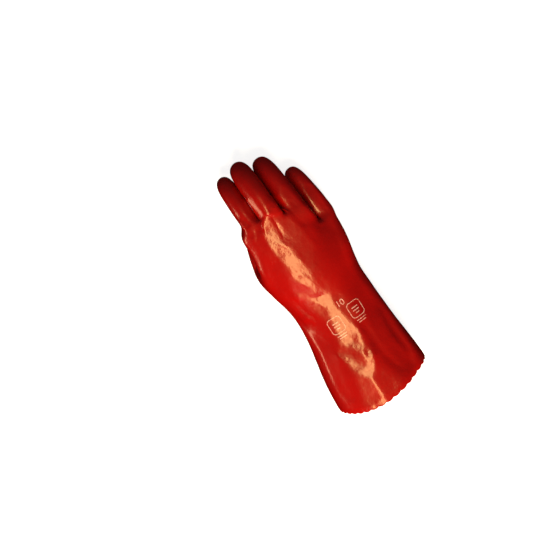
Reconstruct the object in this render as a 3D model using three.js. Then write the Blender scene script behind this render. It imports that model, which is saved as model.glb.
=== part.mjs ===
// A right-hand gauntlet glove of PVC on cotton knit, lying on its palm as it keeps its moulded form.
// Millimetres. Fingers point to +Y, the thumb side is -X, the back of the hand faces +Z.
// The hand is a coarse cage of four-sided faces: a tube for cuff and palm that splits into four
// fingers, and a thumb that leaves its underside. One smoothing step rounds the cage, folds are
// pressed into it, and a second skin one wall further in makes it hollow.
import * as THREE from 'three';

const degrees = Math.PI / 180;
const vec = (x, y, z) => new THREE.Vector3(x, y, z);
const mix = THREE.MathUtils.lerp;
const smooth = (value, low, high) => THREE.MathUtils.smoothstep(value, low, high);

// Shell
const wall = 1.5;

// Wrist, the narrowest section, where the cuff and the palm meet
const wristWidth = 102.5;
const wristHeight = 59;

// Cuff: from the wrist to its edge at the two sides, oval and wider towards the edge
const cuffLength = 109;
const cuffWidth = 125;
const cuffHeight = 75;
const edgeBow = 14;
const hemLength = 5;
const scallopDepth = 1.6;
const scallopSteps = 4;

// Palm: from the wrist to the web between index and middle finger
const palmLength = 134;
const palmWidth = 111;
const palmHeight = 66;

// Thumb, folded under the index finger, and fingers from the thumb side. length: from the root to
// the tip. height: centre of the root above the surface that the glove lies on. turn: degrees to
// the right seen from above. bends: degrees down at the root and at two knuckles.
const thumb = { length: 80, width: 30, depth: 28, height: 13.5, turn: 17, bends: [0, 0, 0] };
const index = { length: 74, width: 22, depth: 24, height: 44, turn: 0, bends: [15, 17, 19] };
const middle = { length: 80, width: 26.5, depth: 27, height: 51, turn: -2, bends: [14, 17, 18] };
const ring = { length: 89, width: 27, depth: 27, height: 42, turn: -5, bends: [11, 13, 15] };
const little = { length: 75, width: 23, depth: 23, height: 26, turn: -8, bends: [6, 9, 12] };
const fingers = [index, middle, ring, little];
// Clear space between neighbouring roots, from the thumb side
const webGaps = [1.5, 3.4, 3.3];
// The thumb's root begins at this share of the palm's length from the wrist
const thumbFrom = 0.3;
// The row of roots stands this share of the palm's width towards the little finger
const knuckleShift = 0.095;
// Where the webs lie between and beside the roots, as shares of the palm's length from the wrist
const webReach = [0.93, 1, 0.93, 0.69, 0.63];

// Oval sections of the cuff. along: share of its length from the wrist. flare and rise: how far the
// width and the height have grown from the wrist's to the edge's. shift and under: shares of the
// section's own width and height.
const cuffSections = [
  { along: 1, flare: 1, rise: 1, shift: -0.014, under: -0.04 },
  { along: 0.84, flare: 0.89, rise: 0.86, shift: -0.014, under: -0.041 },
  { along: 0.68, flare: 0.72, rise: 0.72, shift: -0.013, under: -0.037 },
  { along: 0.51, flare: 0.47, rise: 0.535, shift: -0.007, under: -0.033 },
  { along: 0.34, flare: 0.25, rise: 0.3, shift: 0.005, under: -0.018 },
  { along: 0.17, flare: 0.08, rise: 0.115, shift: 0.014, under: 0.012 },
  { along: 0, flare: 0, rise: 0, shift: 0.017, under: 0.038 },
];

// Sections of the palm, as shares of its length from the wrist and of the width and height there,
// which have grown from the wrist's to the palm's at grownFrom. knuckles: how far the section has
// turned from an oval into the row of finger roots.
const grownFrom = 0.5;
const palmSections = [
  { along: 0.125, width: 0.989, shift: 0.011, top: 0.976, under: 0.016, knuckles: 0 },
  { along: 0.25, width: 0.993, shift: -0.006, top: 0.971, under: -0.032, knuckles: 0.04 },
  { along: 0.375, width: 1.022, shift: -0.026, top: 0.966, under: -0.03, knuckles: 0.12 },
  { along: 0.5, width: 1.055, shift: -0.042, top: 0.97, under: 0.08, knuckles: 0.28 },
  { along: 0.625, width: 1.05, shift: -0.032, top: 0.99, under: 0.3, knuckles: 0.5 },
  { along: 0.75, width: 1, shift: 0.002, top: 1, under: 0.4, knuckles: 0.74 },
  { along: 0.875, width: 0.985, shift: 0.023, top: 1, under: 0.4, knuckles: 0.9 },
  { along: 1, width: 1, shift: 0.043, top: 0.98, under: 0.4, knuckles: 1 },
];

// Rings of a finger or the thumb from root to tip, as shares of its length, width and depth
const digitSections = [
  { along: 0.12, width: 0.96, depth: 1 },
  { along: 0.25, width: 1.01, depth: 0.98 },
  { along: 0.38, width: 1.05, depth: 1 },
  { along: 0.52, width: 1.04, depth: 0.97 },
  { along: 0.66, width: 1.04, depth: 0.97 },
  { along: 0.79, width: 1, depth: 0.94 },
  { along: 0.91, width: 0.86, depth: 0.82 },
  { along: 1, width: 0.5, depth: 0.48 },
];
// The two knuckles, as shares of the length, and how far their bends spread
const knucklesAlong = [0.43, 0.74];
const knuckleSpread = 0.16;
// A root is cut slanting by its webs, and the rings stand square from this share of the length
const squareFrom = 0.5;

// Folds and dents pressed into the back. across and spread: shares of the palm's width from its
// middle; from and to: shares of the cuff's length from the wrist towards the edge; lift: share of
// the cuff's height, below zero for a groove.
const folds = {
  longGroove: { across: [0.37, 0.33], from: 0.2, to: 1.1, spread: 0.06, lift: -0.05 },
  ridgeBesideIt: { across: [0.47, 0.45], from: 0.2, to: 1.1, spread: 0.06, lift: 0.02 },
  leftArmOfFork: { across: [-0.3, -0.12], from: 0.55, to: 0.95, spread: 0.06, lift: 0.03 },
  rightArmOfFork: { across: [-0.03, -0.09], from: 0.5, to: 0.95, spread: 0.06, lift: 0.03 },
  wristDent: { across: [-0.2, -0.08], from: -0.3, to: 0.06, spread: 0.07, lift: -0.05 },
  thumbSideDent: { across: [-0.42, -0.3], from: -0.12, to: 0.25, spread: 0.07, lift: -0.045 },
  thumbSideFold: { across: [-0.36, -0.22], from: -0.25, to: 0.1, spread: 0.05, lift: 0.03 },
};
// Shares of a fold's length over which it grows at its start, and fades at its end
const foldStart = [-0.15, 0.3];
const foldEnd = [0.7, 1.15];
// Steepest and flattest skin that folds grow in over, as the upward part of its normal
const foldSkin = [0, 0.5];

// Cage columns: two edges over each finger, two under it, and one at each side of the hand. Even
// columns run to the webs and the hand's edges, odd ones to the middles of the fingers.
const edgesPerFinger = 2;
const topColumns = fingers.length * edgesPerFinger;
const columnTurn = Math.PI / (topColumns + 1);
// A ring of the cage shrinks by about this much when it is rounded
const fingerCageGrowth = 1.15;
const thumbCageGrowth = 1.08;
// The crest lies this share of the section's half width towards the thumb
const crestLean = 0.16;
// Below its middle a section is squarer than an ellipse, because it lies on a surface
const underFullness = 0.72;
// From this share of the palm's length on, the columns run over the finger roots
const fannedFrom = 0.45;
// The palm's face of a web lies this far ahead of its back
const palmWebLead = 5;
// Where two roots meet, the back is this share of a finger's half depth above their centres
const webFullness = 0.62;

// The cage: corners, and faces of any number of corners, seen anticlockwise from outside
const cage = { corners: [], faces: [] };
const addCorner = (point) => cage.corners.push(point) - 1;

// The finger roots stand side by side, each midway between the reach of its two webs
const total = (values) => values.reduce((sum, value) => sum + value, 0);
const rootsWidth = total(fingers.map((finger) => finger.width)) + total(webGaps);
const roots = fingers.map((finger, k) => {
  const before = total(fingers.slice(0, k).map((other) => other.width)) + total(webGaps.slice(0, k));
  const x = knuckleShift * palmWidth - rootsWidth / 2 + before + finger.width / 2;
  return vec(x, palmLength * (webReach[k] + webReach[k + 1]) / 2, finger.height);
});

// Edge of a section of the palm, at the thumb side (-1) or the little finger's (1)
const palmEdge = (section, side) => palmWidth * (section.shift + side * section.width / 2);

// Edge of a finger beside a web
function fingerSide(k, web, side) {
  const ahead = palmLength * webReach[web] - roots[k].y;
  return roots[k].x + Math.tan(fingers[k].turn * degrees) * ahead + side * fingers[k].width / 2;
}

// Place across the hand of column j at the finger roots
function rootColumn(j) {
  const web = Math.floor(j / edgesPerFinger);
  const knuckles = palmSections[palmSections.length - 1];
  if (j % edgesPerFinger) {
    return roots[web].x;
  }
  if (web === 0) {
    return palmEdge(knuckles, -1);
  }
  if (web === fingers.length) {
    return palmEdge(knuckles, 1);
  }
  return (fingerSide(web - 1, web, 1) + fingerSide(web, web, -1)) / 2;
}

// Column j of a section, from 0 at the thumb side to topColumns: even over an oval, or over the
// finger roots where fanned is 1. Returns its share of the half width, from -1 to 1.
const columnAngle = (j) => (j - topColumns / 2) * columnTurn;
const sideShare = Math.sin(columnAngle(topColumns));
function columnShare(j, fanned) {
  const low = rootColumn(0);
  const across = (rootColumn(j) - low) / (rootColumn(topColumns) - low);
  return mix(Math.sin(columnAngle(j)), sideShare * (2 * across - 1), fanned);
}

function ovalPoint(oval, j, upper, fanned) {
  const share = columnShare(j, fanned);
  const round = Math.sqrt(1 - share ** 2);
  const rise = upper ? round : -(round ** underFullness);
  return {
    x: oval.x + oval.width / 2 * (share - crestLean * rise * round),
    z: (oval.top + oval.under) / 2 + (oval.top - oval.under) / 2 * rise,
  };
}

// Height and place of the finger roots at column j, on the back or on the palm's face
function rootPoint(j, upper) {
  const side = upper ? 1 : -1;
  const web = Math.floor(j / edgesPerFinger);
  if (j % edgesPerFinger) {
    const finger = fingers[web];
    return { x: rootColumn(j), z: finger.height + side * finger.depth / 2 * fingerCageGrowth };
  }
  const near = [fingers[web - 1], fingers[web]].filter(Boolean);
  const height = total(near.map((finger) => finger.height)) / near.length;
  const depth = total(near.map((finger) => finger.depth)) / near.length;
  return { x: rootColumn(j), z: height + side * depth / 2 * webFullness };
}

// How far along the palm's length column j has its finger root or web
function reachAt(j) {
  const web = Math.floor(j / edgesPerFinger);
  if (j % edgesPerFinger) {
    return (webReach[web] + webReach[web + 1]) / 2;
  }
  return webReach[web];
}

function cuffRing(section, upper) {
  const width = mix(wristWidth, cuffWidth, section.flare);
  const height = mix(wristHeight, cuffHeight, section.rise);
  const oval = { x: section.shift * width, width, top: height, under: section.under * height };
  return Array.from({ length: topColumns + 1 }, (_, j) => {
    const { x, z } = ovalPoint(oval, j, upper, 0);
    const bow = edgeBow * section.along * Math.cos(columnAngle(j)) ** 2;
    return addCorner(vec(x, -cuffLength * section.along - bow, z));
  });
}

function palmRing(section, upper) {
  const grown = smooth(section.along, 0, grownFrom);
  const width = mix(wristWidth, palmWidth, grown);
  const height = mix(wristHeight, palmHeight, grown);
  const oval = {
    x: section.shift * width,
    width: section.width * width,
    top: section.top * height,
    under: section.under * height,
  };
  return Array.from({ length: topColumns + 1 }, (_, j) => {
    const side = ovalPoint(oval, j, upper, smooth(section.along, 0, fannedFrom));
    const root = rootPoint(j, upper);
    const lead = upper ? 0 : palmWebLead * section.knuckles;
    const y = palmLength * reachAt(j) * section.along + lead;
    const x = mix(side.x, root.x, section.knuckles);
    return addCorner(vec(x, y, mix(side.z, root.z, section.knuckles)));
  });
}

// A whole ring runs over the back from thumb side to little finger, and returns under the palm
const rows = [
  ...cuffSections.map((section) => [cuffRing(section, true), cuffRing(section, false)]),
  ...palmSections.map((section) => [palmRing(section, true), palmRing(section, false)]),
].map(([upper, lower]) => [...upper, ...lower.reverse()]);
const ringSize = rows[0].length;

// The thumb leaves the palm through a block of two by two faces at the lower thumb side
const low = cuffSections.length + palmSections.findIndex((section) => section.along > thumbFrom);
const [mid, high] = [low + 1, low + 2];
const [palmColumn, edgeColumn] = [ringSize - 2, ringSize - 1];
const inThumb = (row, column) => row >= low && row < high && column >= palmColumn;

for (let row = 0; row < rows.length - 1; row += 1) {
  for (let column = 0; column < ringSize; column += 1) {
    if (!inThumb(row, column)) {
      const next = (column + 1) % ringSize;
      const [near, far] = [rows[row], rows[row + 1]];
      cage.faces.push([near[column], near[next], far[next], far[column]]);
    }
  }
}

// Joins two rings of as many corners
function joinRings(from, to) {
  from.forEach((corner, i) => {
    const next = (i + 1) % from.length;
    cage.faces.push([corner, from[next], to[next], to[i]]);
  });
}

// Direction of a finger's middle line at a share of its length
function digitDirection(digit, along) {
  const [atRoot, ...further] = digit.bends;
  const bent = further.map((bend, i) => {
    const knuckle = knucklesAlong[i];
    return bend * smooth(along, knuckle - knuckleSpread, knuckle + knuckleSpread);
  });
  const dip = (atRoot + total(bent)) * degrees;
  const turn = digit.turn * degrees;
  return vec(Math.sin(turn) * Math.cos(dip), Math.cos(turn) * Math.cos(dip), -Math.sin(dip));
}

// Point on that line, summed up in short steps
const pathSteps = 40;
function digitPoint(digit, start, along) {
  const point = start.clone();
  for (let i = 0; i < pathSteps; i += 1) {
    const at = (i + 0.5) / pathSteps * along;
    point.addScaledVector(digitDirection(digit, at), digit.length * along / pathSteps);
  }
  return point;
}

// Grows a finger or the thumb from the corners of its root, the first of which stands at firstAngle
function growDigit(digit, root, start, growth, firstAngle) {
  const heading = digitDirection(digit, 0);
  const slants = root.map((corner) => {
    return cage.corners[corner].clone().sub(start).dot(heading) / digit.length;
  });
  let last = root;
  digitSections.forEach((section) => {
    const fade = 1 - smooth(section.along, 0, squareFrom);
    const next = root.map((_, i) => {
      const along = section.along + slants[i] * fade;
      const direction = digitDirection(digit, along);
      const right = vec(direction.y, -direction.x, 0).normalize();
      const up = right.clone().cross(direction);
      const angle = firstAngle - i / root.length * 2 * Math.PI;
      const point = digitPoint(digit, start, along);
      point.addScaledVector(right, digit.width / 2 * section.width * growth * Math.cos(angle));
      point.addScaledVector(up, digit.depth / 2 * section.depth * growth * Math.sin(angle));
      return addCorner(point);
    });
    joinRings(last, next);
    last = next;
  });
  cage.faces.push(last);
}

// A finger's root has its flat sides at the webs, so its first corner is half a step past them
const lastRow = rows[rows.length - 1];
const lastUpper = lastRow.slice(0, topColumns + 1);
const lastLower = lastRow.slice(topColumns + 1).reverse();
fingers.forEach((finger, k) => {
  const first = k * edgesPerFinger;
  const upper = lastUpper.slice(first, first + edgesPerFinger + 1);
  const lower = lastLower.slice(first, first + edgesPerFinger + 1).reverse();
  const root = [...upper, ...lower];
  const start = roots[k].clone();
  start.y += palmWebLead / 2;
  growDigit(finger, root, start, fingerCageGrowth, Math.PI - Math.PI / root.length);
});

// The thumb's root is the edge of its block, from the middle of the side over the front to the palm
const side = rows.map((row) => row[0]);
const edge = rows.map((row) => row[edgeColumn]);
const palm = rows.map((row) => row[palmColumn]);
const thumbFront = [side[mid], side[high], edge[high], palm[high]];
const thumbBack = [palm[mid], palm[low], edge[low], side[low]];
const thumbRoot = [...thumbFront, ...thumbBack];
const thumbStart = vec(0, 0, 0);
thumbRoot.forEach((corner) => thumbStart.add(cage.corners[corner]));
thumbStart.divideScalar(thumbRoot.length);
thumbStart.z = thumb.height;
growDigit(thumb, thumbRoot, thumbStart, thumbCageGrowth, Math.PI);

// The corner in the middle of the thumb's block belongs to no face
function withoutLooseCorners({ corners, faces }) {
  const used = [...new Set(faces.flat())];
  const place = new Map(used.map((corner, i) => [corner, i]));
  return {
    corners: used.map((corner) => corners[corner]),
    faces: faces.map((face) => face.map((corner) => place.get(corner))),
  };
}

// One step of Catmull and Clark's rule, whose own weights are the numbers here: each face becomes as
// many four-sided faces as it has corners
function roundCage({ corners, faces }) {
  const edges = new Map();
  const points = corners.map((corner) => corner.clone());
  const facePoints = faces.map((face) => {
    const centre = vec(0, 0, 0);
    face.forEach((corner) => centre.add(corners[corner]));
    return points.push(centre.divideScalar(face.length)) - 1;
  });
  faces.forEach((face, f) => {
    face.forEach((a, i) => {
      const b = face[(i + 1) % face.length];
      const key = `${Math.min(a, b)}_${Math.max(a, b)}`;
      if (!edges.has(key)) {
        edges.set(key, { a, b, faces: [] });
      }
      edges.get(key).faces.push(f);
    });
  });
  const around = corners.map(() => ({ faces: [], middles: [], border: [] }));
  for (const edge of edges.values()) {
    const middle = corners[edge.a].clone().add(corners[edge.b]).divideScalar(2);
    const point = middle.clone();
    if (edge.faces.length === 2) {
      const centres = edge.faces.map((f) => points[facePoints[f]]);
      point.add(centres[0].clone().add(centres[1]).divideScalar(2)).divideScalar(2);
    } else {
      around[edge.a].border.push(corners[edge.b]);
      around[edge.b].border.push(corners[edge.a]);
    }
    edge.point = points.push(point) - 1;
    around[edge.a].middles.push(middle);
    around[edge.b].middles.push(middle);
  }
  faces.forEach((face, f) => {
    face.forEach((corner) => around[corner].faces.push(points[facePoints[f]]));
  });
  corners.forEach((corner, i) => {
    const { faces: centres, middles, border } = around[i];
    if (border.length) {
      points[i] = corner.clone().lerp(border[0].clone().lerp(border[1], 0.5), 0.25);
      return;
    }
    const count = centres.length;
    const sum = vec(0, 0, 0);
    centres.forEach((point) => sum.add(point));
    middles.forEach((point) => sum.addScaledVector(point, 2));
    points[i] = sum.divideScalar(count).addScaledVector(corner, count - 3).divideScalar(count);
  });
  const edgePoint = (a, b) => edges.get(`${Math.min(a, b)}_${Math.max(a, b)}`).point;
  const finer = faces.flatMap((face, f) => face.map((corner, i) => {
    const next = face[(i + 1) % face.length];
    const previous = face[(i + face.length - 1) % face.length];
    return [corner, edgePoint(corner, next), facePoints[f], edgePoint(previous, corner)];
  }));
  return { corners: points, faces: finer };
}

function outwardNormals({ corners, faces }) {
  const normals = corners.map(() => vec(0, 0, 0));
  faces.forEach(([a, b, c, d]) => {
    const across = corners[c].clone().sub(corners[a]);
    const normal = across.cross(corners[d].clone().sub(corners[b]));
    [a, b, c, d].forEach((corner) => normals[corner].add(normal));
  });
  return normals.map((normal) => normal.normalize());
}

// Lift of the back at a point, from all folds that pass near it
function foldLift(point) {
  return total(Object.values(folds).map((fold) => {
    const along = -point.y / cuffLength;
    const share = (along - fold.from) / (fold.to - fold.from);
    const across = point.x / palmWidth - mix(...fold.across, share);
    const ends = smooth(share, ...foldStart) * (1 - smooth(share, ...foldEnd));
    return fold.lift * cuffHeight * ends * Math.exp(-((across / fold.spread) ** 2));
  }));
}

const skin = roundCage(withoutLooseCorners(cage));
const upNormals = outwardNormals(skin);
skin.corners.forEach((corner, i) => {
  if (upNormals[i].z > 0) {
    corner.addScaledVector(upNormals[i], foldLift(corner) * smooth(upNormals[i].z, ...foldSkin));
  }
});

// The glove lies on a flat surface, and what would reach through it is pressed flat
skin.corners.forEach((corner) => {
  corner.z = Math.max(corner.z, 0);
});

// The cuff's edge, as a closed line of corners in order
function openEdge({ faces }) {
  const after = new Map();
  const seen = new Set();
  faces.forEach((face) => face.forEach((a, i) => seen.add(`${a}_${face[(i + 1) % face.length]}`)));
  faces.forEach((face) => face.forEach((a, i) => {
    const b = face[(i + 1) % face.length];
    if (!seen.has(`${b}_${a}`)) {
      after.set(a, b);
    }
  }));
  const line = [after.keys().next().value];
  while (after.get(line[line.length - 1]) !== line[0]) {
    line.push(after.get(line[line.length - 1]));
  }
  return line;
}

const skinNormals = outwardNormals(skin);
const inner = skin.corners.map((corner, i) => corner.clone().addScaledVector(skinNormals[i], -wall));
const edgeLine = openEdge(skin);

// Triangles of the closed shell: outer skin, inner skin turned over, and the scalloped hem
const positions = [];
const triangles = [];
const addPoint = (point) => positions.push(point) - 1;
const outerIndex = skin.corners.map(addPoint);
const innerIndex = inner.map(addPoint);
skin.faces.forEach((face) => {
  const [a, b, c, d] = face.map((corner) => outerIndex[corner]);
  triangles.push([a, b, c], [a, c, d]);
  const [e, f, g, h] = face.map((corner) => innerIndex[corner]);
  triangles.push([e, g, f], [e, h, g]);
});

// One scallop stands on each edge of the last ring, on both skins
const outerCurve = new THREE.CatmullRomCurve3(edgeLine.map((corner) => skin.corners[corner]), true);
const innerCurve = new THREE.CatmullRomCurve3(edgeLine.map((corner) => inner[corner]), true);
const hemPoints = edgeLine.length * scallopSteps;
function hemRing(curve, lowest) {
  return Array.from({ length: hemPoints }, (_, i) => {
    const point = curve.getPoint(i / hemPoints);
    const scallop = Math.abs(Math.sin(Math.PI * i / scallopSteps));
    point.y -= hemLength + scallopDepth * scallop;
    point.z = Math.max(point.z, lowest);
    return addPoint(point);
  });
}
const outerHem = hemRing(outerCurve, 0);
const innerHem = hemRing(innerCurve, wall);
const half = Math.floor(scallopSteps / 2);
edgeLine.forEach((corner, i) => {
  const next = edgeLine[(i + 1) % edgeLine.length];
  for (let step = 0; step < scallopSteps; step += 1) {
    const here = i * scallopSteps + step;
    const there = (here + 1) % hemPoints;
    const foot = step < half ? corner : next;
    triangles.push([outerIndex[foot], outerHem[here], outerHem[there]]);
    triangles.push([innerIndex[foot], innerHem[there], innerHem[here]]);
    triangles.push([outerHem[there], outerHem[here], innerHem[here]]);
    triangles.push([outerHem[there], innerHem[here], innerHem[there]]);
  }
  const middle = i * scallopSteps + half;
  triangles.push([outerIndex[corner], outerHem[middle], outerIndex[next]]);
  triangles.push([innerIndex[corner], innerIndex[next], innerHem[middle]]);
});

// The frame's origin is the middle of the glove's outline, on the surface
const box = new THREE.Box3().setFromPoints(positions);
const centre = box.getCenter(vec(0, 0, 0));
const shift = vec(-centre.x, -centre.y, -box.min.z);
const geometry = new THREE.BufferGeometry();
const coordinates = positions.flatMap((point) => point.clone().add(shift).toArray());
geometry.setAttribute('position', new THREE.Float32BufferAttribute(coordinates, 3));
geometry.setIndex(triangles.flat());
geometry.computeVertexNormals();

const pvc = new THREE.MeshStandardMaterial({ color: 0xb01206, roughness: 0.25, metalness: 0 });
const shell = new THREE.Mesh(geometry, pvc);
shell.name = 'glove_shell';

const group = new THREE.Group();
group.add(shell);
export default group;
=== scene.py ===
# A right-hand work glove, 35 cm long: knitted cotton, dipped in red PVC. It lies palm down, on its cuff
# and its thumb, and keeps the curved form it was dipped on.
import math

import bmesh
import bpy
import numpy as np
from mathutils import Matrix, Vector, noise
from mathutils.bvhtree import BVHTree


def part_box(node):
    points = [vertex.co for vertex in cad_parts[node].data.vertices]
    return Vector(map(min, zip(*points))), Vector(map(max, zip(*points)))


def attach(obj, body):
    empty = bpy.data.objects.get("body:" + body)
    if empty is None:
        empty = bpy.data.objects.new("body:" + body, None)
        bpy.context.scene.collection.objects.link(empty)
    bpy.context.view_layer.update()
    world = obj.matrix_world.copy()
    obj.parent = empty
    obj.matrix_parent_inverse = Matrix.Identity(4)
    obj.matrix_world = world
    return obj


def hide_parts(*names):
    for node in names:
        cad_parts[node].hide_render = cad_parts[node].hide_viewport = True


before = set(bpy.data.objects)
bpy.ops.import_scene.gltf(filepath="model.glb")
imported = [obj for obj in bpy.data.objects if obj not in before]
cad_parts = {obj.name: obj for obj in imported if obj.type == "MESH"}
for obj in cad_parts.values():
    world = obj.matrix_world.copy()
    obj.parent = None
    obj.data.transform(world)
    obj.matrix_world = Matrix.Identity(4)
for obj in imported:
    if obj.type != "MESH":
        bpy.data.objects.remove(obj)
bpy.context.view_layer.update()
shell_low, shell_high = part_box("glove_shell")
MM = 0.001
tiny = 1e-6


# The coating: one seamless skin of PVC, as thick and smooth as the bath left it on the hand-shaped
# former. It is the outer face of the CAD shell, made finer, with the creases of a worn glove.
render_levels = 2
rounding_passes = 4
weld_distance = 0.01 * MM
join_angle = math.radians(60)
# The CAD's cuff end: faces within this depth of it that look this far out of the mouth
rim_depth = 30 * MM
rim_outlook = -0.5
hem_length = 5.0 * MM
scallops = 36
hem_rings = 4
scallop_depth = 1.5 * MM
coat_thickness = 1.5 * MM

# Flats of the back, seen from above: points along each in mm, its half width at each point, its rise
# towards the little finger, and how firmly it holds that rise. A flat with the first of these rises
# mirrors the overhead strip.
to_light = 0.03
firm = 3.0
flats = [
    # from the index knuckle to the wrist, broad and then as narrow as a cord
    {
        "along": [(-24, 84), (-24, 70), (-20, 55), (-14.5, 40), (-10, 27), (-6, 17)],
        "wide": [0.8, 2.5, 5.5, 7.0, 4.5, 1.8],
        "rise": to_light,
        "hold": firm,
    },
    {
        "along": [(-6, 17), (-5, 7), (-7, -4), (-9, -15)],
        "wide": [1.6, 1.0, 1.0, 0.6],
        "rise": to_light,
        "hold": firm,
    },
    # slopes beside it, and between the knuckles, that turn away from the strip
    {"along": [(-16, 16), (-14, 5), (-16, -8)], "wide": [2.5, 4, 4], "rise": 0.2, "hold": 1.2},
    {"along": [(2, 18), (3, 6), (1, -8)], "wide": [3, 3, 3], "rise": -0.12, "hold": 1.0},
    {
        "along": [(-12, 92), (-14, 82), (-12, 70), (-6, 58)],
        "wide": [4, 6, 6, 4],
        "rise": -0.17,
        "hold": firm,
    },
    {"along": [(-33, 82), (-33, 68), (-30, 52)], "wide": [4, 4, 4], "rise": 0.22, "hold": 0.6},
    {"along": [(2, 98), (0, 80), (4, 62), (10, 40)], "wide": [8, 10, 10, 8], "rise": -0.16, "hold": 0.6},
    {"along": [(22, 108), (25, 88), (28, 70)], "wide": [5, 6, 6], "rise": -0.26, "hold": 0.8},
    {"along": [(50, 95), (50, 76), (50, 58)], "wide": [5, 5, 5], "rise": -0.3, "hold": 0.8},
    # across the wrist and down the back of the cuff
    {"along": [(-14, -20), (-7, -26), (1, -28)], "wide": [0.8, 2.5, 1.2], "rise": to_light, "hold": firm},
    {"along": [(-6, -29), (-5, -37), (-6, -46)], "wide": [2.5, 2.0, 4.0], "rise": to_light, "hold": firm},
    {
        "along": [(-5, -46), (-4, -55), (-2, -66), (-2, -74)],
        "wide": [4.5, 6.5, 7.5, 6.0],
        "rise": to_light,
        "hold": firm,
    },
    {
        "along": [(6, -29), (5, -38), (9, -48), (13, -60)],
        "wide": [4.0, 4.0, 4.5, 4.0],
        "rise": -0.15,
        "hold": 1.5,
    },
    # the fork towards the cuff's edge: its two branches, and the slopes between and beside them
    {
        "along": [(3, -70), (5, -80), (3, -90), (-3, -100)],
        "wide": [3.5, 2.6, 1.8, 0.8],
        "rise": to_light,
        "hold": firm,
    },
    {"along": [(-17, -75), (-10, -82), (-4, -91)], "wide": [1.2, 2.2, 1.2], "rise": to_light, "hold": firm},
    {"along": [(0, -80), (-1, -84)], "wide": [2.0, 2.0], "rise": 0.2, "hold": 2.0},
    {
        "along": [(-27, -88), (-22, -96), (-18, -107), (-12, -117), (-7, -123)],
        "wide": [1.2, 3.5, 3.5, 3.0, 3.0],
        "rise": to_light,
        "hold": firm,
    },
    {
        "along": [(6, -101), (3, -110), (-2, -120), (-6, -127)],
        "wide": [0.8, 2.4, 3.0, 2.5],
        "rise": to_light,
        "hold": firm,
    },
    {"along": [(-10, -97), (-7, -105), (-6, -112)], "wide": [4.0, 4.5, 2.5], "rise": 0.2, "hold": 2.0},
    {"along": [(-21, -83), (-14, -91), (-9, -98)], "wide": [2.0, 2.5, 3.0], "rise": 0.2, "hold": 2.0},
    {"along": [(-18, -134), (-18, -166)], "wide": [7, 8], "rise": 0.2, "hold": firm},
    {"along": [(-1, -134), (-1, -166)], "wide": [7, 8], "rise": -0.2, "hold": firm},
    # the index knuckle
    {"along": [(-38, 107), (-37, 101)], "wide": [1.2, 1.8], "rise": to_light, "hold": firm},
]
# Small ridges and creases: points along each in mm, its half width, its lift, and how much of its
# length fades out at either end. They are full where the skin faces up by the second share.
crease_facing = (0.05, 0.5)
creases = [
    {
        "along": [(17, -60), (17, -95), (19, -118), (24, -136), (29, -152)],
        "spread": 5.0,
        "lift": -1.2,
        "fade": 0.25,
    },
    {
        "along": [(42, -62), (36, -88), (35, -105), (40, -125), (47, -145)],
        "spread": 6.0,
        "lift": 1.2,
        "fade": 0.25,
    },
    {"along": [(-24, 18), (-18, 8), (-12, -4)], "spread": 3.0, "lift": 0.8, "fade": 0.4},
    {"along": [(-31, 12), (-26, 0), (-20, -8)], "spread": 3.4, "lift": -0.5, "fade": 0.4},
    {"along": [(-39, 4), (-33, -3), (-27, -11)], "spread": 3.2, "lift": 0.8, "fade": 0.4},
    {"along": [(-22, -13), (-9, -18), (4, -21)], "spread": 3.0, "lift": -0.6, "fade": 0.35},
    {"along": [(-46, -24), (-40, -33), (-30, -32)], "spread": 3.6, "lift": 1.0, "fade": 0.4},
    {"along": [(-47, 96), (-49, 84), (-45, 74)], "spread": 2.4, "lift": 0.6, "fade": 0.4},
    {"along": [(-31, 97), (-35, 86), (-43, 76)], "spread": 2.4, "lift": 0.6, "fade": 0.4},
    {"along": [(-12, 103), (-2, 96), (9, 91)], "spread": 2.6, "lift": 0.6, "fade": 0.4},
]
# Where neighbouring fingers touch, seen from above in mm: they press the slit between them shut
touching = [
    [(-19.8, 95), (-20.2, 130)],
    [(8.6, 89), (7.5, 115)],
    [(40.5, 60), (37.0, 86)],
]
# The push, in mm: how near to such a line it starts and how far it goes, the share of the line over
# which it fades at either end, and how far a wall has to face sideways
touch_reach = 5.0
touch_push = 1.9
touch_fade = 0.15
touch_facing = (0.25, 0.6)
# The back as a stiff sheet, in mm: the step of its grid, its stiffness, how weakly it clings to its
# place, the step in height at which it ends, how the hold fades at a flat's edge, and how far the
# skin has to face up
grid_step = 1.5
sheet_stiffness = 0.08
sheet_anchor = 0.003
sheet_break = 3.0
flat_edge = (-0.5, 1.5)
sheet_facing = (0.3, 0.75)
# The ironing before it: how far it blurs, the height under which nothing is the back, where it
# fades out at the fingers' roots and at the glove's sides
iron_spread = 11.0
iron_floor = 25.0
finger_roots = (85, 102)
little_side = (20, 32)
little_root = (35, 55)
inner_share = (0.7, 0.95)
# The solver of the bend: its most steps, and the pull at which it is at rest
solver_steps = 400
solver_rest = 1e-5
ray_start = 1.0
# Faint ripples of the whole skin, which fade out towards the ground
ripple_size = 11.0 * MM
ripple_height = 0.12 * MM
ripple_fade = (2 * MM, 12 * MM)

cut = bmesh.new()
cut.from_mesh(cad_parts["glove_shell"].data)
bmesh.ops.remove_doubles(cut, verts=cut.verts, dist=weld_distance)
cut.normal_update()
rim_end = shell_low.y + rim_depth
rim_faces = [f for f in cut.faces if f.normal.y < rim_outlook and f.calc_center_median().y < rim_end]
hem_points = {v for f in rim_faces for v in f.verts}
bmesh.ops.delete(cut, geom=list(hem_points), context="VERTS")
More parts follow.
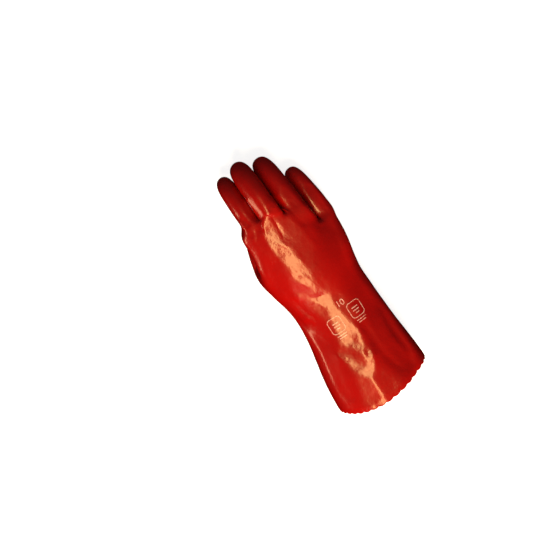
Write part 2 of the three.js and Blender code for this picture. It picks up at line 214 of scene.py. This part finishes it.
# Only the outer face is kept: all that hangs together with the highest point
outside = set()
edge_of_search = [max(cut.verts, key=lambda v: v.co.z)]
while edge_of_search:
    point = edge_of_search.pop()
    if point not in outside:
        outside.add(point)
        edge_of_search.extend(e.other_vert(point) for e in point.link_edges)
bmesh.ops.delete(cut, geom=[v for v in cut.verts if v not in outside], context="VERTS")
bmesh.ops.join_triangles(
    cut, faces=cut.faces, angle_face_threshold=join_angle, angle_shape_threshold=join_angle
)
coarse = bpy.data.meshes.new("coating_coarse")
cut.to_mesh(coarse)
cut.free()


def coordinates(mesh):
    """The places of a mesh's points, one row each."""
    values = np.zeros(len(mesh.vertices) * 3)
    mesh.vertices.foreach_get("co", values)
    return values.reshape(-1, 3)


def place(mesh, values):
    """Moves a mesh's points to the places in rows."""
    mesh.vertices.foreach_set("co", values.ravel())
    mesh.update()


def shaped(mesh, *modifiers):
    """A mesh after modifiers, each a type and its settings."""
    holder = bpy.data.objects.new("shaping", mesh)
    bpy.context.scene.collection.objects.link(holder)
    for kind, settings in modifiers:
        modifier = holder.modifiers.new(kind, kind)
        for name, value in settings.items():
            setattr(modifier, name, value)
    result = bpy.data.meshes.new_from_object(holder.evaluated_get(bpy.context.evaluated_depsgraph_get()))
    bpy.data.objects.remove(holder)
    return result


finer = ("SUBSURF", {"levels": render_levels, "render_levels": render_levels})
# Rounding draws a skin inwards, so the coarse points move out until the fine skin passes through
# the places where they were
target = coordinates(coarse)
for _ in range(rounding_passes):
    drawn_in = target - coordinates(shaped(coarse, finer))[: len(target)]
    place(coarse, coordinates(coarse) + drawn_in)
fine = shaped(coarse, finer)


def smoothstep(value, low, high):
    """0 below low, 1 above high, and a soft step between."""
    share = np.clip((value - low) / (high - low), 0, 1)
    return share * share * (3 - 2 * share)


def distance_along(points, line):
    """Distance of points from a line seen from above, and the share of its length nearest to them."""
    line = np.array(line, float)
    parts = np.linalg.norm(np.diff(line, axis=0), axis=1)
    best = np.full(len(points), np.inf)
    share = np.zeros(len(points))
    start = 0.0
    for a, b, length in zip(line[:-1], line[1:], parts):
        t = np.clip(((points - a) @ (b - a)) / length**2, 0, 1)
        gap = np.linalg.norm(points - a - t[:, None] * (b - a), axis=1)
        nearer = gap < best
        best[nearer] = gap[nearer]
        share[nearer] = (start + t[nearer] * length) / parts.sum()
        start += length
    return best, share


co = coordinates(fine)
normals = np.array([v.normal for v in fine.vertices])
lift = np.zeros(len(co))
for crease in creases:
    away, share = distance_along(co[:, :2] / MM, crease["along"])
    ends = smoothstep(share, 0, crease["fade"]) * (1 - smoothstep(share, 1 - crease["fade"], 1))
    lift += crease["lift"] * MM * ends * np.exp(-((away / crease["spread"]) ** 2))
lift *= smoothstep(normals[:, 2], *crease_facing)


def blurred(grid, kernel):
    """A grid blurred both ways by a kernel."""
    for axis in (0, 1):
        grid = np.apply_along_axis(np.convolve, axis, grid, kernel, "same")
    return grid


# The back as a grid of heights in mm, first ironed smooth and then bent until the flats lie as they
# should, with the rest of the back following as stiff sheet does
bare = BVHTree.FromPolygons([Vector(p) for p in co], [tuple(f.vertices) for f in fine.polygons])
xs = np.arange(shell_low.x / MM, shell_high.x / MM + grid_step, grid_step)
ys = np.arange(shell_low.y / MM, shell_high.y / MM + grid_step, grid_step)
height = np.zeros((len(xs), len(ys)))
for i, x in enumerate(xs):
    for j, y in enumerate(ys):
        spot = bare.ray_cast(Vector((x * MM, y * MM, ray_start)), Vector((0, 0, -1)))[0]
        height[i, j] = spot.z / MM if spot else 0
known = (height > iron_floor).astype(float)
height *= known
reach = int(3 * iron_spread / grid_step)
kernel = np.exp(-((np.arange(-reach, reach + 1) * grid_step / iron_spread) ** 2) / 2)
weight = np.maximum(blurred(known, kernel), tiny)
change = (blurred(height, kernel) / weight - height) * known
change -= blurred(change, kernel) / weight
grid_x, grid_y = np.meshgrid(xs, ys, indexing="ij")
ironed = 1 - smoothstep(grid_y, *finger_roots)
ironed *= 1 - smoothstep(grid_x, *little_side) * smoothstep(grid_y, *little_root)
change *= smoothstep(weight / kernel.sum() ** 2, *inner_share) * known * ironed
cells = np.stack([grid_x.ravel(), grid_y.ravel()], axis=1)
hold = np.zeros_like(height)
rise = np.zeros_like(height)
for flat in flats:
    away, share = distance_along(cells, flat["along"])
    lengths = np.linalg.norm(np.diff(np.array(flat["along"], float), axis=0), axis=1)
    corners = np.concatenate([[0], np.cumsum(lengths)]) / lengths.sum()
    held = flat["hold"] * (1 - smoothstep(away - np.interp(share, corners, flat["wide"]), *flat_edge))
    held = held.reshape(height.shape)
    rise = (rise * hold + flat["rise"] * held) / np.maximum(hold + held, tiny)
    hold += held
joined_x = known[1:] * known[:-1] * (np.abs(np.diff(height, axis=0)) < sheet_break)
joined_y = known[:, 1:] * known[:, :-1] * (np.abs(np.diff(height, axis=1)) < sheet_break)
hold = (hold[1:] + hold[:-1]) / 2 * joined_x
rise = (rise[1:] + rise[:-1]) / 2


def strain(bend):
    """What the sheet's bend costs at each cell: its own height, its stiffness and the held flats."""
    across = np.diff(bend, axis=0) / grid_step
    along = np.diff(bend, axis=1) / grid_step * joined_y * sheet_stiffness
    across *= sheet_stiffness * joined_x + hold
    cost = sheet_anchor * bend
    cost[1:] += across / grid_step
    cost[:-1] -= across / grid_step
    cost[:, 1:] += along / grid_step
    cost[:, :-1] -= along / grid_step
    return cost


# The bend whose strain equals the pull of the flats, found by conjugate gradients
missing = hold * (rise - np.diff(height + change, axis=0) / grid_step) / grid_step
pull = np.zeros_like(height)
pull[1:] += missing
pull[:-1] -= missing
bend = np.zeros_like(height)
rest = pull.copy()
step = rest.copy()
for _ in range(solver_steps):
    cost = strain(step)
    size = (rest**2).sum() / (step * cost).sum()
    bend += size * step
    after = rest - size * cost
    step = after + (after**2).sum() / (rest**2).sum() * step
    rest = after
    if np.abs(rest).max() < solver_rest:
        break
change += bend
# What the grid says at each point of the skin, between its four nearest cells
u = (co[:, 0] / MM - xs[0]) / grid_step
v = (co[:, 1] / MM - ys[0]) / grid_step
i = np.clip(u.astype(int), 0, len(xs) - 2)
j = np.clip(v.astype(int), 0, len(ys) - 2)
u -= i
v -= j
sampled = (change[i, j] * (1 - u) + change[i + 1, j] * u) * (1 - v)
sampled += (change[i, j + 1] * (1 - u) + change[i + 1, j + 1] * u) * v
lift += sampled * MM * smoothstep(normals[:, 2], *sheet_facing)
ripples = np.array([noise.noise(Vector(point) / ripple_size) for point in co])
lift += ripple_height * ripples * smoothstep(co[:, 2], *ripple_fade)

for line in touching:
    away, share = distance_along(co[:, :2] / MM, line)
    (x0, y0), (x1, y1) = line
    middle_x = (x0 + (x1 - x0) * (co[:, 1] / MM - y0) / (y1 - y0)) * MM
    side = co[:, 0] - middle_x
    push = touch_push * MM * np.clip(1 - away / touch_reach, 0, 1)
    push *= smoothstep(share, 0, touch_fade) * (1 - smoothstep(share, 1 - touch_fade, 1))
    push *= smoothstep(np.abs(normals[:, 0]), *touch_facing)
    co[:, 0] = middle_x + np.sign(side) * np.maximum(np.abs(side) - push, 0)
place(fine, co + normals * lift[:, None])

# The cuff's edge, cut with pinking shears after dipping: the hem runs on from the skin's open edge.
skin = bmesh.new()
skin.from_mesh(fine)
hem_value = skin.verts.layers.float.new("hem")
round_value = skin.verts.layers.float.new("round")
first = next(e for e in skin.edges if e.is_boundary)
loop = [first.verts[0], first.verts[1]]
while True:
    onward = [e for e in loop[-1].link_edges if e.is_boundary and e.other_vert(loop[-1]) is not loop[-2]]
    following = onward[0].other_vert(loop[-1])
    if following is loop[0]:
        break
    loop.append(following)
points_round = 2 * len(loop)
rings = []
for ring in range(1, hem_rings + 1):
    made = []
    for i in range(points_round):
        here = loop[i // 2].co
        there = loop[(i + 1) // 2 % len(loop)].co
        vert = skin.verts.new((here + there) / 2 - Vector((0, hem_length * ring / hem_rings, 0)))
        vert[hem_value] = ring / hem_rings
        vert[round_value] = i / points_round
        made.append(vert)
    rings.append(made)
for i, here in enumerate(loop):
    a, b, c = (rings[0][(2 * i + k) % points_round] for k in range(3))
    there = loop[(i + 1) % len(loop)]
    skin.faces.new((here, a, b))
    skin.faces.new((here, b, there))
    skin.faces.new((there, b, c))
for upper, lower in zip(rings[:-1], rings[1:]):
    for i in range(points_round):
        j = (i + 1) % points_round
        skin.faces.new((upper[i], lower[i], lower[j], upper[j]))
bmesh.ops.recalc_face_normals(skin, faces=skin.faces)
hemmed = bpy.data.meshes.new("coating_hemmed")
skin.to_mesh(hemmed)
skin.free()


def add_node(tree, kind, inputs=None, **settings):
    """Adds a node with its settings; inputs are values, or sockets to link from."""
    node = tree.nodes.new(kind)
    for name, value in settings.items():
        setattr(node, name, value)
    for key, value in (inputs or {}).items():
        if isinstance(value, bpy.types.NodeSocket):
            tree.links.new(value, node.inputs[key])
        else:
            node.inputs[key].default_value = value
    return node


def linear(value):
    """An sRGB hex colour as linear RGBA."""
    parts = [int(value[i : i + 2], 16) / 255 for i in (1, 3, 5)]
    return [c / 12.92 if c <= 0.04045 else ((c + 0.055) / 1.055) ** 2.4 for c in parts] + [1.0]


# Dipped PVC, plasticised and cured: it is deep red with faint clouds, and dries to a wet-looking gloss
# with an orange peel of 2 to 3 mm and softer dimples of about 5 mm.
pvc = bpy.data.materials.new("dipped_pvc")
pvc.use_nodes = True
tree = pvc.node_tree
shader = tree.nodes["Principled BSDF"]
where = add_node(tree, "ShaderNodeTexCoord").outputs["Object"]
clouds = add_node(tree, "ShaderNodeTexNoise", {"Vector": where, "Scale": 28.0, "Detail": 3.0})
tone = add_node(tree, "ShaderNodeValToRGB", {"Fac": clouds.outputs["Fac"]})
tone.color_ramp.elements[0].position = 0.3
tone.color_ramp.elements[0].color = linear("#A20300")
tone.color_ramp.elements[1].position = 0.7
tone.color_ramp.elements[1].color = linear("#B00600")
peel = add_node(tree, "ShaderNodeTexNoise", {"Vector": where, "Scale": 380.0, "Detail": 3.0})
dimples = add_node(tree, "ShaderNodeTexNoise", {"Vector": where, "Scale": 210.0, "Detail": 2.0})
peel_bump = add_node(
    tree, "ShaderNodeBump", {"Height": peel.outputs["Fac"], "Strength": 1.0, "Distance": 0.06 * MM}
)
dimples_bump = add_node(
    tree,
    "ShaderNodeBump",
    {
        "Height": dimples.outputs["Fac"],
        "Strength": 1.0,
        "Distance": 0.24 * MM,
        "Normal": peel_bump.outputs["Normal"],
    },
)
tree.links.new(tone.outputs["Color"], shader.inputs["Base Color"])
tree.links.new(dimples_bump.outputs["Normal"], shader.inputs["Normal"])
tree.links.new(dimples_bump.outputs["Normal"], shader.inputs["Coat Normal"])
shader.inputs["Roughness"].default_value = 0.28
shader.inputs["IOR"].default_value = 1.53
shader.inputs["Coat Weight"].default_value = 0.5
shader.inputs["Coat Roughness"].default_value = 0.12

# The liner: a jersey of off-white cotton, seen inside the cuff. Its wales run along the hand, with
# stitches about 1.4 mm apart; they are drawn at 2 mm so that they show.
cotton = bpy.data.materials.new("knitted_cotton")
cotton.use_nodes = True
tree = cotton.node_tree
shader = tree.nodes["Principled BSDF"]
knit_uv = add_node(tree, "ShaderNodeUVMap", uv_map="knit").outputs["UV"]
loops = {"Vector": knit_uv, "Scale": 0.16, "Distortion": 0.6, "Detail": 1.0, "Detail Scale": 2.0}
wales = add_node(tree, "ShaderNodeTexWave", loops, bands_direction="X")
rows = add_node(tree, "ShaderNodeTexWave", loops, bands_direction="Y")
stitches = add_node(
    tree, "ShaderNodeMath", {0: wales.outputs["Fac"], 1: rows.outputs["Fac"]}, operation="MULTIPLY"
).outputs["Value"]
yarn = add_node(tree, "ShaderNodeValToRGB", {"Fac": stitches})
yarn.color_ramp.elements[0].color = linear("#B9AE9A")
yarn.color_ramp.elements[1].color = linear("#EDE6D6")
yarn_bump = add_node(tree, "ShaderNodeBump", {"Height": stitches, "Strength": 0.8, "Distance": 0.5 * MM})
tree.links.new(yarn.outputs["Color"], shader.inputs["Base Color"])
tree.links.new(yarn_bump.outputs["Normal"], shader.inputs["Normal"])
shader.inputs["Roughness"].default_value = 0.9
shader.inputs["Sheen Weight"].default_value = 0.3

# The pinked edge as a rule: each tooth is a round lobe, and the lobes repeat all the way round.
pinking = bpy.data.node_groups.new("pinked_edge", "GeometryNodeTree")
pinking.interface.new_socket("Geometry", in_out="INPUT", socket_type="NodeSocketGeometry")
teeth_socket = pinking.interface.new_socket("Teeth", in_out="INPUT", socket_type="NodeSocketFloat")
depth_socket = pinking.interface.new_socket("Depth", in_out="INPUT", socket_type="NodeSocketFloat")
pinking.interface.new_socket("Geometry", in_out="OUTPUT", socket_type="NodeSocketGeometry")
entry = add_node(pinking, "NodeGroupInput")
hem_share = add_node(pinking, "GeometryNodeInputNamedAttribute", {"Name": "hem"}, data_type="FLOAT")
round_share = add_node(pinking, "GeometryNodeInputNamedAttribute", {"Name": "round"}, data_type="FLOAT")
teeth = add_node(
    pinking,
    "ShaderNodeMath",
    {0: round_share.outputs["Attribute"], 1: entry.outputs["Teeth"]},
    operation="MULTIPLY",
)
half_turns = add_node(pinking, "ShaderNodeMath", {0: teeth.outputs[0], 1: math.pi}, operation="MULTIPLY")
wave = add_node(pinking, "ShaderNodeMath", {0: half_turns.outputs[0]}, operation="SINE")
lobe = add_node(pinking, "ShaderNodeMath", {0: wave.outputs[0]}, operation="ABSOLUTE")
reach_out = add_node(
    pinking, "ShaderNodeMath", {0: lobe.outputs[0], 1: entry.outputs["Depth"]}, operation="MULTIPLY"
)
faded = add_node(
    pinking,
    "ShaderNodeMath",
    {0: reach_out.outputs[0], 1: hem_share.outputs["Attribute"]},
    operation="MULTIPLY",
)
forward = add_node(pinking, "ShaderNodeMath", {0: faded.outputs[0], 1: -1.0}, operation="MULTIPLY")
offset = add_node(pinking, "ShaderNodeCombineXYZ", {"Y": forward.outputs[0]})
moved = add_node(
    pinking,
    "GeometryNodeSetPosition",
    {"Geometry": entry.outputs["Geometry"], "Offset": offset.outputs["Vector"]},
)
realized = add_node(pinking, "GeometryNodeRealizeInstances", {"Geometry": moved.outputs["Geometry"]})
painted = add_node(
    pinking, "GeometryNodeSetMaterial", {"Geometry": realized.outputs["Geometry"], "Material": pvc}
)
add_node(pinking, "NodeGroupOutput", {"Geometry": painted.outputs["Geometry"]})

holder = bpy.data.objects.new("pinking", hemmed)
bpy.context.scene.collection.objects.link(holder)
modifier = holder.modifiers.new("pinked_edge", "NODES")
modifier.node_group = pinking
modifier[teeth_socket.identifier] = float(scallops)
modifier[depth_socket.identifier] = scallop_depth
edged = bpy.data.meshes.new_from_object(holder.evaluated_get(bpy.context.evaluated_depsgraph_get()))
bpy.data.objects.remove(holder)

# Stitch coordinates in mm for the liner: round the hand by arc, and along it
knit = edged.uv_layers.new(name="knit")
arc_radius = 55.0
arc_height = 30.0
for corner in edged.loops:
    p = edged.vertices[corner.vertex_index].co / MM
    knit.data[corner.index].uv = (math.atan2(p.z - arc_height, p.x) * arc_radius, p.y)

# The wall, with the liner on its inner face up to the knuckles. Where the skin is folded tightly, the
# wall is no thicker than this share of the shortest edge.
thinning = 1.25
liner_end = 75.0 * MM
edged.materials.append(cotton)
wall = {
    "thickness": coat_thickness,
    "offset": -1.0,
    "thickness_clamp": thinning,
    "material_offset": 1,
}
walled = shaped(edged, ("SOLIDIFY", wall))
walled.name = "glove"
for face in walled.polygons:
    face.use_smooth = True
    if face.center.y > liner_end:
        face.material_index = 0
glove = bpy.data.objects.new("glove", walled)
bpy.context.scene.collection.objects.link(glove)
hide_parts("glove_shell")
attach(glove, "root")


# The print: the size and two plain marks, screen printed in pale ink that cracks a little as the
# glove bends. It lies on the coating with no thickness that can be felt. Lengths are in mm.
ink_lift = 0.3 * MM
ink_line = 0.9
print_grid = 1.0
print_ray_start = 0.2
marks = [
    {"at": (19, -53), "width": 17, "height": 19},
    {"at": (-11, -57), "width": 17, "height": 19},
]
mark_corner = 4.0
corner_steps = 5
# Bars in a mark and below it: the height over its middle, half the length, and the width
bars = [(2.5, 4.0, 1.3), (-1.0, 4.0, 1.3), (-4.5, 2.5, 1.3), (-13.0, 6.5, 1.1), (-16.0, 5.0, 1.1)]
size_number = "10"
number_size = 11
number_at = (7, -37.5)
number_passes = 3
tree_of_skin = BVHTree.FromPolygons(
    [v.co.copy() for v in walled.vertices], [tuple(f.vertices) for f in walled.polygons]
)


def band(points, width, closed):
    """A flat strip along points in mm, as vertices and faces."""
    path = [Vector((*p, 0)) for p in points]
    verts, faces = [], []
    n = len(path)
    for i, p in enumerate(path):
        before = path[(i - 1) % n] if closed or i else p
        after = path[(i + 1) % n] if closed or i < n - 1 else p
        side = (after - before).normalized().cross(Vector((0, 0, 1))) * width / 2
        verts += [p + side, p - side]
    for i in range(n if closed else n - 1):
        a, b = 2 * i, 2 * ((i + 1) % n)
        faces.append((a, a + 1, b + 1, b))
    return verts, faces


def rounded_outline(width, height, radius, steps):
    """Points of a rounded rectangle about its middle, in mm."""
    points = []
    for cx, cy, turn in ((1, 1, 0), (-1, 1, 90), (-1, -1, 180), (1, -1, 270)):
        for k in range(steps + 1):
            angle = math.radians(turn + 90 * k / steps)
            x = cx * (width / 2 - radius) + radius * math.cos(angle)
            y = cy * (height / 2 - radius) + radius * math.sin(angle)
            points.append((x, y))
    return points


def resampled(points, step, closed):
    """Points put in along a line so that none lie further apart than step."""
    ends = points[1:] + points[:1] if closed else points[1:]
    result = []
    for a, b in zip(points, ends):
        parts = max(1, math.ceil(math.dist(a, b) / step))
        for k in range(parts):
            result.append((a[0] + (b[0] - a[0]) * k / parts, a[1] + (b[1] - a[1]) * k / parts))
    return result if closed else result + [points[-1]]


print_verts, print_faces = [], []


def add_print(verts, faces, at):
    """Adds a shape to the print, with its middle at a place."""
    start = len(print_verts)
    print_verts.extend((v.x + at[0], v.y + at[1]) for v in verts)
    print_faces.extend(tuple(i + start for i in f) for f in faces)


for mark in marks:
    outline = rounded_outline(mark["width"], mark["height"], mark_corner, corner_steps)
    add_print(*band(resampled(outline, print_grid, True), ink_line, True), mark["at"])
    for y, half, width in bars:
        bar = resampled([(-half, y), (half, y)], print_grid, False)
        add_print(*band(bar, width, False), mark["at"])
digits = bpy.data.curves.new("size_number", "FONT")
digits.body = size_number
digits.size = number_size
digits.align_x = "CENTER"
digits.align_y = "CENTER"
digits.resolution_u = 6
digits_object = bpy.data.objects.new("size_number", digits)
bpy.context.scene.collection.objects.link(digits_object)
flat_digits = digits_object.evaluated_get(bpy.context.evaluated_depsgraph_get())
number = bmesh.new()
number.from_mesh(bpy.data.meshes.new_from_object(flat_digits))
bpy.data.objects.remove(digits_object)
bmesh.ops.triangulate(number, faces=number.faces)
for _ in range(number_passes):
    long_edges = [e for e in number.edges if e.calc_length() > print_grid]
    bmesh.ops.subdivide_edges(number, edges=long_edges, cuts=1)
    bmesh.ops.triangulate(number, faces=number.faces)
number.verts.index_update()
number_faces = [tuple(v.index for v in f.verts) for f in number.faces]
add_print([v.co.copy() for v in number.verts], number_faces, number_at)
number.free()

laid = []
for x, y in print_verts:
    hit, normal, _, _ = tree_of_skin.ray_cast(Vector((x * MM, y * MM, print_ray_start)), Vector((0, 0, -1)))
    laid.append(hit + normal * ink_lift)
print_mesh = bpy.data.meshes.new("print")
print_mesh.from_pydata(laid, [], print_faces)
ink = bpy.data.materials.new("screen_ink")
ink.use_nodes = True
tree = ink.node_tree
shader = tree.nodes["Principled BSDF"]
where = add_node(tree, "ShaderNodeTexCoord").outputs["Object"]
worn = add_node(tree, "ShaderNodeTexNoise", {"Vector": where, "Scale": 600.0, "Detail": 4.0})
ink_tone = add_node(tree, "ShaderNodeValToRGB", {"Fac": worn.outputs["Fac"]})
ink_tone.color_ramp.elements[0].position = 0.35
ink_tone.color_ramp.elements[0].color = linear("#D8543F")
ink_tone.color_ramp.elements[1].position = 0.55
ink_tone.color_ramp.elements[1].color = linear("#F5B9A6")
tree.links.new(ink_tone.outputs["Color"], shader.inputs["Base Color"])
shader.inputs["Roughness"].default_value = 0.35
shader.inputs["Coat Weight"].default_value = 0.3
print_mesh.materials.append(ink)
printed = bpy.data.objects.new("print", print_mesh)
bpy.context.scene.collection.objects.link(printed)
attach(printed, "root")


# The studio: a pale floor, a long warm strip overhead that draws the highlight down the back, a low
# strip for the thumb side's rim, a large soft box over the cuff, and a dim sky. The strips are seen
# in the gloss alone. The floor lights nothing and isn't mirrored.
floor_mesh = bpy.data.meshes.new("floor")
floor_half = 40.0
floor_corners = [(x * floor_half, y * floor_half, 0) for x, y in ((-1, -1), (1, -1), (1, 1), (-1, 1))]
floor_mesh.from_pydata(floor_corners, [], [(0, 1, 2, 3)])
paper = bpy.data.materials.new("studio_paper")
paper.use_nodes = True
shader = paper.node_tree.nodes["Principled BSDF"]
shader.inputs["Base Color"].default_value = linear("#F1F1EF")
shader.inputs["Roughness"].default_value = 0.9
shader.inputs["Emission Color"].default_value = linear("#FFFFFF")
shader.inputs["Emission Strength"].default_value = 0.8
floor_mesh.materials.append(paper)
floor = bpy.data.objects.new("floor", floor_mesh)
floor.visible_glossy = False
floor.visible_diffuse = False
bpy.context.scene.collection.objects.link(floor)


def soft_box(name, at, aim, size, power, colour, mirrored):
    """An area light of a width and height in metres, seen in the gloss alone or lighting alone."""
    light = bpy.data.lights.new(name, "AREA")
    light.shape = "RECTANGLE"
    light.size, light.size_y = size
    light.energy = power
    light.color = linear(colour)[:3]
    lamp = bpy.data.objects.new(name, light)
    lamp.location = at
    lamp.rotation_mode = "QUATERNION"
    lamp.rotation_quaternion = (Vector(aim) - Vector(at)).to_track_quat("-Z", "Y")
    lamp.visible_glossy = mirrored
    lamp.visible_diffuse = not mirrored
    bpy.context.scene.collection.objects.link(lamp)


soft_box(
    "overhead_strip",
    at=(-0.12, -0.35, 2.3),
    aim=(0, -0.05, 0),
    size=(0.42, 2.2),
    power=34,
    colour="#FFDC90",
    mirrored=True,
)
soft_box(
    "low_strip",
    at=(-1.8, 0.3, 0.5),
    aim=(0, -0.1, 0.03),
    size=(0.8, 0.4),
    power=7,
    colour="#FFD9A8",
    mirrored=True,
)
soft_box(
    "cuff_side_fill",
    at=(-0.9, -1.85, 1.85),
    aim=(0, 0, 0),
    size=(2.0, 2.0),
    power=155,
    colour="#FFE4C4",
    mirrored=False,
)
world = bpy.data.worlds.new("studio")
bpy.context.scene.world = world
world.use_nodes = True
world.node_tree.nodes["Background"].inputs["Color"].default_value = linear("#FFFFFF")
world.node_tree.nodes["Background"].inputs["Strength"].default_value = 0.18
world.cycles_visibility.glossy = False
bpy.context.scene.view_settings.view_transform = "Standard"

# The camera looks down on the back of the hand from the finger side, 10 degrees off the vertical,
# and is rolled so that the fingers point up and to the left. The middle of the glove stands at its
# own pixel of the picture.
middle = Vector((0.0, -0.003, 0.03))
elevation = math.radians(80)
roll = math.radians(33)
distance = 1.6
picture_width = 0.66
picture_pixels = 550
right = Vector((1, 0, 0))
back = Vector((0, math.cos(elevation), math.sin(elevation)))
up = Vector((0, math.sin(elevation), -math.cos(elevation)))
picture_right = right * math.cos(roll) - up * math.sin(roll)
picture_up = right * math.sin(roll) + up * math.cos(roll)
glove_in_picture = Vector((316.8, 279.1))
pixel = picture_width / picture_pixels
from_centre = glove_in_picture - Vector((picture_pixels / 2, picture_pixels / 2))
aim = middle - picture_right * from_centre.x * pixel + picture_up * from_centre.y * pixel
camera_data = bpy.data.cameras.new("camera")
camera_data.sensor_width = 36.0
camera_data.lens = camera_data.sensor_width * distance / picture_width
camera = bpy.data.objects.new("camera", camera_data)
turn = Matrix((picture_right, picture_up, back)).transposed().to_4x4()
camera.matrix_world = Matrix.Translation(aim + back * distance) @ turn
bpy.context.scene.collection.objects.link(camera)
bpy.context.scene.camera = camera
